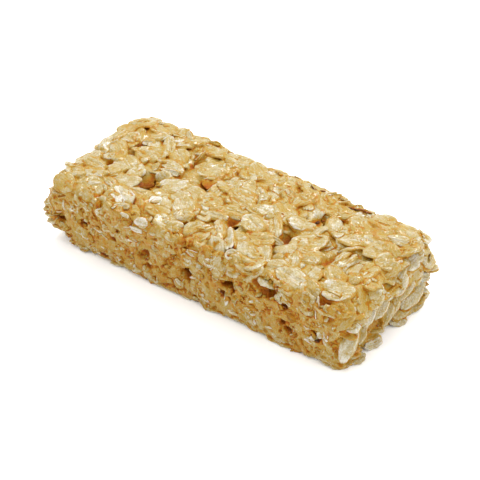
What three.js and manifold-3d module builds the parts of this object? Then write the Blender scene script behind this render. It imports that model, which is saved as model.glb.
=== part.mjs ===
// A granola bar: rolled oat flakes and crumbs pressed into one slab with golden syrup, then cut to a stick.
// The long sides are cut, the ends are torn, and the top is a mosaic of flakes that lie nearly flat.
// Millimetres. X runs along the bar, Y across it and Z up from its flat underside, under whose middle the origin lies.

import * as THREE from "three";
import { mergeVertices } from "three/addons/utils/BufferGeometryUtils.js";
import Module from "manifold-3d";

// The whole bar, out to the tips of the flakes that stand proud of it.
const LENGTH = 101;
const WIDTH = 42.8;
const THICKNESS = 20.4;

// The pressed slab inside that, which the flakes stand proud of.
const FLAKES_PROUD_AT_ENDS = 2.1;
const FLAKES_PROUD_AT_SIDES = 0.8;
const FLAKES_PROUD_ON_TOP = 0.7;
const SLAB_LENGTH = LENGTH - 2 * FLAKES_PROUD_AT_ENDS;
const SLAB_WIDTH = WIDTH - 2 * FLAKES_PROUD_AT_SIDES;
const SLAB_THICKNESS = THICKNESS - FLAKES_PROUD_ON_TOP;
const CORNER_RADIUS = 4.4; // the upright corners, rubbed round
const TOP_EDGE_RADIUS = 2.6;
const BASE_EDGE_RADIUS = 1.3;
const FACET = 4; // about how wide one facet of the slab is

// The pressed surface rises and falls in long waves and, from flake to flake, in short ones.
const LONG_WAVE = { spacing: 15, height: 0.55, seed: 11 };
const SHORT_WAVE = { spacing: 5, height: 0.45, seed: 23 };

// One rolled oat flake: a flattened oval with a blunt rim.
const FLAKE_LENGTH = 8.8;
const FLAKE_WIDTH = 6.8;
const FLAKE_THICKNESS = 1.2;
const FLAKE_SIDES = 7;
const RIM_THICKNESS = 0.45;

// The faces that flakes show on: how many columns and rows of them, and how far they lie out of flat.
const TOP = { out: "top", columns: 10, rows: 4, tilt: 12 };
const FRONT = { out: "front", columns: 8, rows: 2, tilt: 18 };
const BACK = { out: "back", columns: 7, rows: 2, tilt: 18 };
const LEFT_END = { out: "left", columns: 3, rows: 2, tilt: 26 };
const RIGHT_END = { out: "right", columns: 3, rows: 2, tilt: 40 };

// Holes where flakes have fallen out or never met: the middle and the three half sizes of each, by face.
const TOP_HOLES = [
  [-26, -5.5, 2.6, 3.2],
  [-12.2, 2.4, 2.5, 2],
  [3.6, -6.7, 1.8, 1.5],
  [18.4, -3, 1.7, 3.6],
  [20.6, 7, 1.7, 1.7],
  [-6.8, -15, 2.2, 1.4],
  [9.4, -16.2, 1.7, 1.3],
  [40.2, -18.4, 2.8, 1.6],
  [-37.5, 6.6, 1.6, 1.1],
  [32.6, -4, 0.9, 3],
];
const FRONT_HOLES = [
  [-2.5, 8.6, 1.7, 1.8],
  [22.6, 16.2, 3.8, 2.4],
  [-44.4, 8.2, 2.6, 1.9],
  [-16, 8.2, 1.7, 1.3],
  [12.6, 12.2, 1.7, 1.1],
  [37.4, 9.2, 1.5, 1.1],
];
const TOP_HOLE_DEPTH = 2.4;
const FRONT_HOLE_DEPTH = 2.6;

// Pieces broken out of the slab's edges: the middle of each gap and its half sizes.
const GAPS = [
  { where: "lower corner at the left", middle: [-50, -20.5, 0], half: [9.5, 7, 4] },
  { where: "upper edge at the left", middle: [-49.5, 3, 19.2], half: [3, 1.5, 3] },
  { where: "upper edge at the left", middle: [-49.7, -11.8, 18.6], half: [2.4, 1.3, 3] },
  { where: "upper edge at the back", middle: [23.4, 21.6, 19], half: [1.8, 1.9, 3.4] },
  { where: "under the right end", middle: [49.8, -2, 1.4], half: [4.4, 4.2, 4] },
  { where: "across the right end", middle: [49.6, 2, 7.6], half: [2.6, 4.5, 1.2] },
  { where: "lower corner at the right", middle: [50, 22, 0], half: [5, 6, 6] },
];

// Where the slab is fuller than its even outline: the middle of each lump and its half sizes.
const LUMPS = [
  { where: "upright corner at the front left", middle: [-46.3, -17.3, 10.4], half: [4.2, 4.1, 6.4] },
  { where: "upper edge at the back left", middle: [-29, 18.2, 16], half: [13, 3.1, 3.6] },
  { where: "upper edge at the back middle", middle: [-2, 17.8, 16.2], half: [6, 3.2, 3.5] },
];

// Flakes that stand out from the rest: the middle of each, how far it leans along X and along Y, and its size.
const PROUD_FLAKES = [
  { middle: [47.3, -2.5, 16.9], lean: [34, 2], size: 1.35 },
  { middle: [47.4, 14.8, 14.4], lean: [42, -14], size: 1.3 },
  { middle: [46.6, 6.5, 16.6], lean: [34, -4], size: 1.1 },
  { middle: [45.6, -14.5, 17.4], lean: [22, 14], size: 1.1 },
  { middle: [42.4, 12.5, 18.6], lean: [8, 4], size: 1.05 },
  { middle: [46.9, 9, 9.6], lean: [28, 10], size: 1.1 },
  { middle: [46, 8.4, 3.4], lean: [24, 8], size: 1.1 },
  { middle: [45.8, 5, 2], lean: [8, 4], size: 0.9 },
  { middle: [44.6, -15.4, 4.4], lean: [30, 20], size: 1 },
  { middle: [45.6, -9.2, 4.4], lean: [30, 16], size: 0.9 },
  { middle: [-47.4, -18.4, 13], lean: [-50, 34], size: 0.95 },
  { middle: [-48.6, -18.2, 9.2], lean: [-36, 30], size: 0.8 },
  { middle: [-28.5, -14.5, 18.7], lean: [-4, 10], size: 0.95 },
  { middle: [-18, -13.5, 18.8], lean: [4, 8], size: 0.9 },
  { middle: [5, -13.6, 18.7], lean: [6, 9], size: 1 },
];

function seeded(seed) {
  let state = seed;
  return () => {
    state = (state * 1664525 + 1013904223) % 4294967296;
    return state / 4294967296;
  };
}

// A wave's height at a point, from -height to height: random values on a lattice, blended smoothly between its corners.
function waveAt(wave, point) {
  const lattice = point.clone().divideScalar(wave.spacing);
  const corner = lattice.clone().floor();
  const part = lattice.sub(corner);
  let height = 0;
  for (let step = 0; step < 8; step += 1) {
    const side = new THREE.Vector3(step & 1, (step >> 1) & 1, (step >> 2) & 1);
    const node = corner.clone().add(side);
    const draw = Math.sin(node.x * 127.1 + node.y * 311.7 + node.z * 74.7 + wave.seed) * 43758.5453;
    const value = draw - Math.floor(draw);
    const share = ["x", "y", "z"].reduce((product, axis) => {
      const smooth = THREE.MathUtils.smoothstep(part[axis], 0, 1);
      return product * (side[axis] ? smooth : 1 - smooth);
    }, 1);
    height += value * share;
  }
  return wave.height * (2 * height - 1);
}

// Where two flat faces meet, carries a point onto the round edge between them. Both depths run inwards from their face.
function roundOff(firstDepth, secondDepth, radius) {
  const first = radius - firstDepth;
  const second = radius - secondDepth;
  if (first <= 0 || second <= 0) {
    return [firstDepth, secondDepth];
  }
  const shrink = Math.max(first, second) / Math.hypot(first, second);
  return [radius - first * shrink, radius - second * shrink];
}

function rounded(point) {
  const inner = new THREE.Vector2(SLAB_LENGTH / 2 - CORNER_RADIUS, SLAB_WIDTH / 2 - CORNER_RADIUS);
  const anchor = new THREE.Vector2(point.x, point.y).clamp(inner.clone().negate(), inner);
  const offset = new THREE.Vector2(point.x, point.y).sub(anchor);
  const sideDepth = CORNER_RADIUS - Math.max(Math.abs(offset.x), Math.abs(offset.y));
  const low = point.z < SLAB_THICKNESS / 2;
  const edgeRadius = low ? BASE_EDGE_RADIUS : TOP_EDGE_RADIUS;
  const faceDepth = low ? point.z : SLAB_THICKNESS - point.z;
  const [roundSide, roundFace] = roundOff(sideDepth, faceDepth, edgeRadius);
  offset.setLength(CORNER_RADIUS - roundSide);
  const height = low ? roundFace : SLAB_THICKNESS - roundFace;
  return new THREE.Vector3(anchor.x + offset.x, anchor.y + offset.y, height);
}

function movePoints(geometry, move) {
  const places = geometry.attributes.position;
  const point = new THREE.Vector3();
  for (let index = 0; index < places.count; index += 1) {
    point.fromBufferAttribute(places, index);
    const moved = move(point, index);
    places.setXYZ(index, moved.x, moved.y, moved.z);
  }
}

// Shared corners become one, so that the faces close on each other.
function welded(geometry) {
  geometry.deleteAttribute("normal");
  geometry.deleteAttribute("uv");
  return mergeVertices(geometry, 1e-4);
}

function slabGeometry() {
  const facets = [SLAB_LENGTH, SLAB_WIDTH, SLAB_THICKNESS].map((side) => Math.round(side / FACET));
  const box = new THREE.BoxGeometry(SLAB_LENGTH, SLAB_WIDTH, SLAB_THICKNESS, ...facets);
  box.translate(0, 0, SLAB_THICKNESS / 2);
  const slab = welded(box);
  movePoints(slab, rounded);
  slab.computeVertexNormals();
  const outward = new THREE.Vector3();
  movePoints(slab, (point, index) => {
    outward.fromBufferAttribute(slab.attributes.normal, index);
    const flatBelow = THREE.MathUtils.smoothstep(point.z, 0, FACET);
    const height = waveAt(LONG_WAVE, point) + waveAt(SHORT_WAVE, point);
    return point.addScaledVector(outward, height * flatBelow);
  });
  slab.deleteAttribute("normal");
  return slab;
}

function flakeGeometry(size) {
  const half = FLAKE_THICKNESS / 2;
  const rim = RIM_THICKNESS / 2;
  const profile = [
    new THREE.Vector2(0, -half),
    new THREE.Vector2(1, -rim),
    new THREE.Vector2(1, rim),
    new THREE.Vector2(0, half),
  ];
  const flake = new THREE.LatheGeometry(profile, FLAKE_SIDES);
  flake.rotateX(Math.PI / 2);
  flake.scale((size * FLAKE_LENGTH) / 2, (size * FLAKE_WIDTH) / 2, 1);
  return flake;
}

// The slab's faces: the way out, and the directions that columns and rows run in, with the length of each.
function faceFrame(name) {
  const long = SLAB_LENGTH - CORNER_RADIUS;
  const wide = SLAB_WIDTH - CORNER_RADIUS / 2;
  const high = SLAB_THICKNESS - TOP_EDGE_RADIUS;
  const axes = {
    top: { out: [0, 0, 1], column: [long, 0, 0], row: [0, wide, 0] },
    front: { out: [0, -1, 0], column: [long, 0, 0], row: [0, 0, high] },
    back: { out: [0, 1, 0], column: [long, 0, 0], row: [0, 0, high] },
    left: { out: [-1, 0, 0], column: [0, wide, 0], row: [0, 0, high] },
    right: { out: [1, 0, 0], column: [0, wide, 0], row: [0, 0, high] },
  }[name];
  const out = new THREE.Vector3(...axes.out);
  const half = new THREE.Vector3(SLAB_LENGTH, SLAB_WIDTH, SLAB_THICKNESS).divideScalar(2);
  const middle = new THREE.Vector3(0, 0, half.z).addScaledVector(out, Math.abs(out.dot(half)));
  return { out, middle, column: new THREE.Vector3(...axes.column), row: new THREE.Vector3(...axes.row) };
}

function flakesOnFace(face, random) {
  const { out, middle, column, row } = faceFrame(face.out);
  const between = (low, high) => THREE.MathUtils.lerp(low, high, random());
  const flakes = [];
  for (let across = 0; across < face.columns; across += 1) {
    for (let up = 0; up < face.rows; up += 1) {
      const stagger = up % 2 ? 0.25 : -0.25;
      const alongColumn = (across + 0.5 + stagger + between(-0.2, 0.2)) / face.columns - 0.5;
      const alongRow = (up + 0.5 + between(-0.25, 0.25)) / face.rows - 0.5;
      const flake = flakeGeometry(between(0.75, 1.1));
      flake.rotateZ(between(0, Math.PI));
      flake.rotateX(THREE.MathUtils.degToRad(between(-face.tilt, face.tilt)));
      flake.rotateY(THREE.MathUtils.degToRad(between(-face.tilt, face.tilt)));
      const turn = new THREE.Quaternion().setFromUnitVectors(new THREE.Vector3(0, 0, 1), out);
      flake.applyQuaternion(turn);
      const place = middle.clone().addScaledVector(column, alongColumn).addScaledVector(row, alongRow);
      place.addScaledVector(out, between(-0.3, 0.25));
      flake.translate(place.x, place.y, place.z);
      flakes.push(flake);
    }
  }
  return flakes;
}

function proudFlake({ middle, lean, size }) {
  const flake = flakeGeometry(size);
  flake.rotateX(THREE.MathUtils.degToRad(lean[1]));
  flake.rotateY(THREE.MathUtils.degToRad(lean[0]));
  flake.translate(...middle);
  return flake;
}

function blobGeometry({ middle, half }) {
  const blob = new THREE.IcosahedronGeometry(1, 1);
  blob.scale(...half);
  blob.translate(...middle);
  return blob;
}

function holes() {
  const onTop = TOP_HOLES.map(([x, y, halfX, halfY]) => ({
    middle: [x, y, SLAB_THICKNESS],
    half: [halfX, halfY, TOP_HOLE_DEPTH],
  }));
  const inFront = FRONT_HOLES.map(([x, z, halfX, halfZ]) => ({
    middle: [x, -SLAB_WIDTH / 2, z],
    half: [halfX, FRONT_HOLE_DEPTH, halfZ],
  }));
  return [...onTop, ...inFront, ...GAPS].map(blobGeometry);
}

const wasm = await Module();
wasm.setup();

function solid(geometry) {
  const closed = welded(geometry);
  return new wasm.Manifold(
    new wasm.Mesh({
      numProp: 3,
      vertProperties: new Float32Array(closed.attributes.position.array),
      triVerts: new Uint32Array(closed.index.array),
    }),
  );
}

function geometryOf(body) {
  const mesh = body.getMesh();
  const geometry = new THREE.BufferGeometry();
  geometry.setAttribute("position", new THREE.BufferAttribute(mesh.vertProperties, 3));
  geometry.setIndex(new THREE.BufferAttribute(mesh.triVerts, 1));
  geometry.computeVertexNormals();
  return geometry;
}

function barGeometry() {
  const random = seeded(7);
  const faces = [TOP, FRONT, BACK, LEFT_END, RIGHT_END];
  const flakes = faces.flatMap((face) => flakesOnFace(face, random));
  let bar = solid(slabGeometry());
  for (const added of [...LUMPS.map(blobGeometry), ...flakes, ...PROUD_FLAKES.map(proudFlake)]) {
    bar = bar.add(solid(added));
  }
  for (const hole of holes()) {
    bar = bar.subtract(solid(hole));
  }
  const outside = new THREE.BoxGeometry(LENGTH, WIDTH, THICKNESS);
  outside.translate(0, 0, THICKNESS / 2);
  return geometryOf(bar.intersect(solid(outside)));
}

const oats = new THREE.MeshStandardMaterial({ color: 0xd9b878, roughness: 0.5, metalness: 0 });

const bar = new THREE.Mesh(barGeometry(), oats);
bar.name = "bar";

const granolaBar = new THREE.Group();
granolaBar.add(bar);

export default granolaBar;
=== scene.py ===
# %% [markdown]
# # A granola bar
# Rolled oat flakes and crumbs are stirred into hot golden syrup, pressed into a slab and cut into sticks. So
# the bar is not one surface but thousands of small things stuck together: flakes that lie nearly flat on top,
# cut edges of flakes on the long sides, and flakes that stick out like shingles at the torn ends. It is built
# that way here: a syrupy core, flakes, fragments and crumbs laid on it, and a glaze that runs them together.

# %% The frame: the bar's solid, which everything is laid on
import math
import random

import bmesh
import bpy
import numpy as np
from mathutils import Matrix, Vector, noise
from mathutils.bvhtree import BVHTree


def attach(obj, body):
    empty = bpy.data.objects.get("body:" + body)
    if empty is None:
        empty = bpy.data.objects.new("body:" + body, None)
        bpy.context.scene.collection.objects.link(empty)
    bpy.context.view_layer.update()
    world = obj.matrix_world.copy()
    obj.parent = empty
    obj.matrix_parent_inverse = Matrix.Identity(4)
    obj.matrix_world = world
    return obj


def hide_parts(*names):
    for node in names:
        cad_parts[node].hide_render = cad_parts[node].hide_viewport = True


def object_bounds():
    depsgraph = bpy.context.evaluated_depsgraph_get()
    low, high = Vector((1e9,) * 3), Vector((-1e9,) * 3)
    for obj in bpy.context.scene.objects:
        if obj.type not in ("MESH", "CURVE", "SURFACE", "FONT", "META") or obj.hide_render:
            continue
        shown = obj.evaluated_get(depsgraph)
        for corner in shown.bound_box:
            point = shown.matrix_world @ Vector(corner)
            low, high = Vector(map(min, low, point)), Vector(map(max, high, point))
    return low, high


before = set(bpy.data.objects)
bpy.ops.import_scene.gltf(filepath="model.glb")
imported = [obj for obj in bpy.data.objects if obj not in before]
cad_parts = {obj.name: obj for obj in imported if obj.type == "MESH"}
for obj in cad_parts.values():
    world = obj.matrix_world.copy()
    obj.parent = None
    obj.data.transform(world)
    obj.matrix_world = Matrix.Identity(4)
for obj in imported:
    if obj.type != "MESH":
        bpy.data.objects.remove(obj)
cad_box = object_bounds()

MM = 0.001
print("solid", [round(v / MM, 1) for corner in cad_box for v in corner], "mm")


def new_object(name, data):
    made = bpy.data.objects.new(name, data)
    bpy.context.scene.collection.objects.link(made)
    return made


# %% [markdown]
# ## Camera
# The bar is small, so a photographer steps back and uses a long lens: its parallel edges then stay nearly
# parallel. The camera looks at the middle of the bar from in front, to the right and above.

# %% Camera
AZIMUTH, ELEVATION = math.radians(36.75), math.radians(37.1)
CAMERA_DISTANCE = 532.9 * MM
LOOK_AT = Vector((0, 0, 9.65 * MM))

backwards = Vector((
    math.sin(AZIMUTH) * math.cos(ELEVATION),
    -math.cos(AZIMUTH) * math.cos(ELEVATION),
    math.sin(ELEVATION),
))
camera = new_object("camera", bpy.data.cameras.new("camera"))
camera.data.lens = 150
camera.data.sensor_width = 36
camera.data.shift_x = 0.0048
camera.data.shift_y = -0.0100
camera.location = LOOK_AT + backwards * CAMERA_DISTANCE
camera.rotation_mode = "QUATERNION"
camera.rotation_quaternion = (-backwards).to_track_quat("-Z", "Y")
bpy.context.scene.camera = camera
print("camera", tuple(round(v, 3) for v in camera.location))

# %% [markdown]
# ## Light
# A food studio lights a small thing with a large soft box above and behind it, so that the top glows and the
# near side falls into warm shade. A second box lights the torn end, small windows glint in the syrup, and a
# pale sky all round fills the shade.

# %% Light and floor
def soft_box(name, place, size, watts, tint):
    lamp = bpy.data.lights.new(name, "AREA")
    lamp.shape = "RECTANGLE"
    lamp.size, lamp.size_y = size
    lamp.energy = watts
    lamp.color = tint
    box = new_object(name, lamp)
    box.location = place
    box.rotation_mode = "QUATERNION"
    box.rotation_quaternion = (LOOK_AT - box.location).to_track_quat("-Z", "Y")


WARM, WHITE = (1.0, 0.99, 0.97), (1.0, 1.0, 1.0)
soft_box("top_box", (-0.14, 0.33, 0.56), (0.36, 0.30), 1.5, WARM)
soft_box("side_box", (0.60, -0.05, 0.40), (0.35, 0.30), 1.4, WARM)
# Small bright windows: too weak to light the bar much, but mirrored in the glaze as glints.
WINDOWS = [
    (-0.22, 0.38, 0.54), (0.18, 0.42, 0.53), (-0.44, 0.18, 0.52), (0.00, 0.60, 0.37), (-0.32, -0.38, 0.50),
]
for number, place in enumerate(WINDOWS):
    soft_box(f"window_{number}", place, (0.09, 0.09), 0.7, WHITE)

sky = bpy.data.worlds.new("studio")
sky.use_nodes = True
sky.node_tree.nodes["Background"].inputs["Color"].default_value = (*WHITE, 1)
sky.node_tree.nodes["Background"].inputs["Strength"].default_value = 1.28
bpy.context.scene.world = sky
bpy.context.scene.view_settings.view_transform = "Standard"

FLOOR_SIZE = 4.0
floor_shape = bmesh.new()
bmesh.ops.create_grid(floor_shape, x_segments=1, y_segments=1, size=FLOOR_SIZE / 2)
floor = new_object("floor", bpy.data.meshes.new("floor"))
floor_shape.to_mesh(floor.data)
floor_shape.free()
print("lights", len(bpy.data.lights), "round a floor of", FLOOR_SIZE, "m")

# %% [markdown]
# ## Shader maths
# A finish is a formula: this much cream here, that much amber there. As node links it is hard to read, so a
# small class wraps a socket and lets plus, minus and times make the Math nodes. Every other node comes from
# one method, which takes the kind of node, its settings, and what goes into its sockets.

# %% Shader maths
class Value:
    """A number that changes over a surface: the output of a node."""

    def __init__(self, finish, socket):
        self.finish = finish
        self.socket = socket

    def maths(self, operation, first, second):
        return self.finish.node("ShaderNodeMath", {"operation": operation}, {0: first, 1: second})

    def __add__(self, other):
        return self.maths("ADD", self, other)

    def __sub__(self, other):
        return self.maths("SUBTRACT", self, other)

    def __rsub__(self, other):
        return self.maths("SUBTRACT", other, self)

    def __mul__(self, other):
        return self.maths("MULTIPLY", self, other)

    __radd__ = __add__
    __rmul__ = __mul__


class Finish:
    """A material, made node by node."""

    def __init__(self, name):
        self.material = bpy.data.materials.new(name)
        self.material.use_nodes = True
        self.nodes = self.material.node_tree.nodes
        self.links = self.material.node_tree.links
        self.surface = self.nodes["Principled BSDF"]

    def fill(self, socket, value):
        if isinstance(value, Value):
            self.links.new(value.socket, socket)
        else:
            socket.default_value = value

    def node(self, kind, settings, inputs, output=0):
        made = self.nodes.new(kind)
        for name, value in settings.items():
            setattr(made, name, value)
        for name, value in inputs.items():
            self.fill(made.inputs[name], value)
        return Value(self, made.outputs[output])

    def attribute(self, name, output="Fac"):
        return self.node("ShaderNodeAttribute", {"attribute_name": name}, {}, output)

    def stretched(self, vector, scale):
        return self.node("ShaderNodeVectorMath", {"operation": "MULTIPLY"}, {0: vector, 1: scale})

    def clouds(self, vector, scale, detail, roughness):
        inputs = {"Vector": vector, "Scale": scale, "Detail": detail, "Roughness": roughness}
        return self.node("ShaderNodeTexNoise", {}, inputs)

    def between(self, value, low, high, low_out=0.0, high_out=1.0, course="SMOOTHSTEP"):
        inputs = {"Value": value, "From Min": low, "From Max": high, "To Min": low_out, "To Max": high_out}
        return self.node("ShaderNodeMapRange", {"interpolation_type": course}, inputs)

    def mixed(self, share, first, second):
        return self.node("ShaderNodeMix", {"data_type": "RGBA"}, {0: share, 6: first, 7: second}, 2)

    def bumped(self, height, depth):
        return self.node("ShaderNodeBump", {}, {"Height": height, "Strength": 1.0, "Distance": depth})

    def set(self, **sockets):
        for name, value in sockets.items():
            self.fill(self.surface.inputs[name.replace("_", " ")], value)


def colour(code):
    """A colour as a paint chart writes it, turned into the light values that a shader works in."""
    parts = [int(code[place:place + 2], 16) / 255 for place in (1, 3, 5)]
    light = [part / 12.92 if part <= 0.04045 else ((part + 0.055) / 1.055) ** 2.4 for part in parts]
    return (*light, 1.0)


floor_finish = Finish("pale_paper")
floor_finish.set(Base_Color=colour("#FAFAF9"), Roughness=0.9)
floor.data.materials.append(floor_finish.material)
print("finish", floor_finish.material.name)

# %% [markdown]
# ## What a glazed oat flake looks like
# A dry flake is cream, with fine fibres along its length and a paler rim. Syrup soaks in and turns it golden,
# in soft patches, and where it pools in a crevice it is amber. Crevices are painted darker still, as shade,
# and small pale specks are painted glints. So one number, how much syrup there is with that painted shade and
# those painted glints, gives the tone. A thin glaze catches the light in small glints. Each point carries
# what
# the finish reads: where it lies in its own flake, in millimetres, how dry that flake is, how near its rim,
# and how deep in a crevice.

# %% The oat finish
# How much syrup, with painted shade and painted glints added in, and the tone it gives: from a dry crumb and
# the painted glints to a burnt husk. The amber and brown tones are also the painted shade of the crevices.
TONES = [
    (0.00, "#BBB6AB"), (0.22, "#A89F86"), (0.45, "#9C8B5F"), (0.72, "#967C33"),
    (1.00, "#986B10"), (1.45, "#954F05"), (2.40, "#38200E"),
]


def oat_finish(name, glaze, syrup_and_shade_in_gaps):
    """The look of oats: glaze says how much they shine, and syrup_and_shade_in_gaps how dark crevices are
    painted, as syrup and as painted shade.
    """
    oat = Finish(name)
    grain = oat.attribute("grain", "Vector")
    whereabouts = oat.node("ShaderNodeTexCoord", {}, {}, "Object")
    drifts = oat.clouds(whereabouts, 120.0, 2.0, 0.5)
    dryness = oat.attribute("dryness") + oat.between(drifts, 0.35, 0.65, -0.3, 0.3)
    rim = oat.attribute("rim")
    crevice_syrup_and_shade = oat.attribute("crevice_syrup_and_shade")
    fibres = oat.clouds(oat.stretched(grain, (0.28, 1.9, 1.0)), 1.0, 3.0, 0.6)
    patches = oat.clouds(grain, 0.45, 2.0, 0.5)
    pores_and_painted_glints = oat.clouds(grain, 2.3, 2.0, 0.65)
    sugar = oat.clouds(oat.stretched(grain, (1.0, 1.3, 1.0)), 1.7, 2.0, 0.6)
    # syrup_and_painted_light: how much syrup soaked in, with painted glints and painted shade added to it.
    syrup_and_painted_light = 0.67 - 0.33 * dryness + 0.8 * (0.5 - patches) + 0.8 * (fibres - 0.5)
    # The dark pores are real. The pale specks, where this noise is low, are painted glints of sugar.
    syrup_and_painted_light += oat.between(pores_and_painted_glints, 0.52, 0.66, 0.0, 0.25) - oat.between(pores_and_painted_glints, 0.34, 0.42, 0.24, 0.0)
    syrup_and_painted_light -= oat.between(rim, 0.68, 0.90, 0.0, 0.14) * oat.between(dryness, 0.0, 0.6)
    # Painted shade: deep in a crevice, hole or seam the tone is painted darker amber and brown, partly as
    # pooled syrup.
    syrup_and_painted_light += oat.between(crevice_syrup_and_shade, 0.03, 0.76, 0.0, 0.95 * syrup_and_shade_in_gaps)
    tone = colour(TONES[0][1])
    for (start, _), (end, code) in zip(TONES, TONES[1:]):
        tone = oat.mixed(oat.between(syrup_and_painted_light, start, end, 0.0, 1.0, "LINEAR"), tone, colour(code))
    relief = 0.75 * fibres + 0.22 * pores_and_painted_glints + 0.2 * sugar
    oat.set(
        Base_Color=tone,
        Roughness=oat.between(sugar, 0.50, 0.60, 0.62, 0.62 - 0.40 * glaze),
        Normal=oat.bumped(relief, 0.4 * MM),
        Coat_Weight=oat.between(sugar, 0.48, 0.58, 0.0, glaze) * oat.between(crevice_syrup_and_shade, 0.08, 0.35, 1.0, 0.0),
        Coat_Roughness=0.13,
        Specular_IOR_Level=0.12,
        Subsurface_Weight=0.4,
        Subsurface_Radius=(1.0, 0.6, 0.2),
        Subsurface_Scale=0.7 * MM,
    )
    return oat.material


# The last number sets how dark the crevices are painted, as syrup and as painted shade.
glazed_finish = oat_finish("glazed_oats", 0.9, 1.0)
flake_finish = oat_finish("oat_flakes", 0.7, 0.75)
crumb_finish = oat_finish("oat_crumbs", 0.5, 0.5)
for finish in (glazed_finish, flake_finish, crumb_finish):
    print("finish", finish.name, len(finish.node_tree.nodes), "nodes")

# %% [markdown]
# ## The outer skin, worked out from the solid
# The solid from the frame says how big the bar is. A copy of it, remeshed to an even net and smoothed, says
# where flakes lie.

# %% The skin
def read(layer, field, width=3):
    """A field of every point or face of a mesh, as rows of numbers."""
    values = np.empty(len(layer) * width, np.float64)
    layer.foreach_get(field, values)
    return values.reshape(-1, width)


def whole_numbers(layer, field):
    """A whole number of every corner or face of a mesh, in one row."""
    return read(layer, field, 1).astype(int).ravel()


def shaped(name, mesh, *changes):
    """The mesh that comes out when modifiers are applied one after the other to mesh."""
    rough = new_object(name, mesh)
    for kind, settings in changes:
        change = rough.modifiers.new(kind.lower(), kind)
        for field, value in settings.items():
            setattr(change, field, value)
    depsgraph = bpy.context.evaluated_depsgraph_get()
    made = bpy.data.meshes.new_from_object(rough.evaluated_get(depsgraph), depsgraph=depsgraph)
    made.name = name
    bpy.data.objects.remove(rough)
    return made


solid_net = bmesh.new()
solid_net.from_mesh(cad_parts["bar"].data)
bmesh.ops.remove_doubles(solid_net, verts=solid_net.verts, dist=0.001 * MM)
bmesh.ops.scale(solid_net, verts=solid_net.verts, vec=(1 / MM,) * 3)
solid = bpy.data.meshes.new("solid_in_mm")
solid_net.to_mesh(solid)
solid_net.free()

skin = shaped(
    "skin", solid,
    ("REMESH", {"mode": "VOXEL", "voxel_size": 0.8}),
    ("SMOOTH", {"factor": 0.5, "iterations": 14}),
)
skin_tree = BVHTree.FromPolygons(
    [tuple(point) for point in read(skin.vertices, "co")],
    [tuple(face.vertices) for face in skin.polygons],
)
LOW = np.array(cad_box[0]) / MM
HIGH = np.array(cad_box[1]) / MM
FAR = 100.0
print("skin", len(skin.vertices), "points")


def touch(place, heading):
    """Where a ray coming straight in against heading first meets the skin, and the skin's normal there."""
    heading = Vector(heading)
    hit, normal, _, _ = skin_tree.ray_cast(Vector(place) + heading * FAR, -heading)
    return (hit, normal) if hit else (None, None)


# %% [markdown]
# ## The core
# Between the flakes shows the binder: crumbs and oat dust set in syrup. The core is the skin sunk under the
# flakes, most of all in the open holes.

# %% The core
# Holes between the flakes: the middle and the half sizes, on top (x, y) and in front (x, z).
TOP_HOLES = [
    (-26.0, -5.5, 2.6, 3.2), (-12.2, 2.4, 2.3, 1.9), (3.6, -6.7, 1.7, 1.3), (18.4, -3.0, 1.7, 3.6),
    (20.6, 7.0, 1.5, 1.5), (-6.8, -15.0, 2.0, 1.2), (9.4, -16.2, 1.5, 1.1), (40.2, -18.4, 2.6, 1.4),
    (-37.5, 6.6, 1.4, 0.9), (32.6, -4.0, 0.9, 3.0), (-33.5, 12.6, 0.9, 2.4), (-43.5, -2.2, 0.8, 0.7),
    (-39.9, -4.6, 0.8, 0.8), (-43.2, -16.6, 1.2, 0.7), (-0.6, 11.3, 0.9, 0.8), (26.2, 10.2, 0.7, 1.0),
    (-20.4, 0.7, 1.1, 0.7), (-20.6, 8.0, 0.8, 2.4), (37.0, 0.8, 1.0, 0.8), (-23.4, -14.8, 1.0, 0.7),
]
FRONT_HOLES = [
    (-1.4, 8.8, 1.3, 1.5), (24.2, 15.9, 3.1, 2.0), (-36.0, 10.3, 1.0, 0.8), (-15.0, 9.6, 1.0, 0.8),
    (-13.8, 5.9, 0.6, 0.6), (13.4, 11.6, 1.0, 0.9), (11.0, 11.4, 0.8, 0.8), (10.6, 8.0, 0.7, 0.7),
    (30.2, 13.2, 0.8, 0.7), (31.4, 6.6, 1.0, 0.7), (30.0, 8.0, 0.7, 0.6), (40.2, 8.2, 1.0, 0.9),
    (-29.2, 2.2, 0.9, 0.7), (38.0, 14.4, 0.7, 0.5), (-44.4, 8.2, 1.3, 0.8), (-25.6, 9.4, 0.7, 0.5),
]
FRONT_DEEPER = 1.7  # holes in front, against those on top


def hole_share(first, second, holes):
    """How deep in a hole each point lies, from 0 outside to 1 or more in the middle: an uneven bowl."""
    uneven = np.array([noise.noise(Vector((a, b, 0)) * 0.6) for a, b in zip(first.tolist(), second.tolist())])
    deepest = np.zeros(len(first))
    for middle_1, middle_2, half_1, half_2 in holes:
        depth = min(1.8, 0.7 + 0.35 * min(half_1, half_2))
        away = ((first - middle_1) / half_1) ** 2 + ((second - middle_2) / half_2) ** 2
        deepest = np.maximum(deepest, depth * np.exp(-0.7 * (away * (1 + 0.7 * uneven)) ** 1.5))
    return np.where(deepest < 0.02, 0, deepest)


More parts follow.
